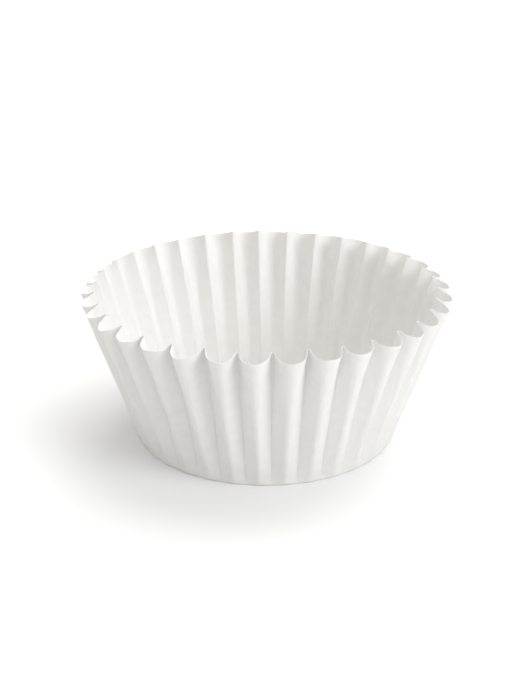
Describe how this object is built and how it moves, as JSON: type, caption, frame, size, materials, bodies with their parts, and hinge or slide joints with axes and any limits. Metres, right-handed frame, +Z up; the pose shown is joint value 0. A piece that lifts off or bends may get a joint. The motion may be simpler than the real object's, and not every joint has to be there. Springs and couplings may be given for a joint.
{
  "type": "cupcake liner",
  "caption": "Round fluted paper baking cup with a flat base and a pleated wall that flares to an open rim.",
  "frame": {"origin": "centre of the underside of the flat base", "axes": "+Z up through the open rim; the middle of an outward lobe lies on +X"},
  "size_m": [0.0696, 0.0694, 0.0291],
  "materials": {
    "paper": "matt, slightly translucent greaseproof paper"
  },
  "bodies": {
    "root": {"liner": "paper"}
  },
  "joints": []
}
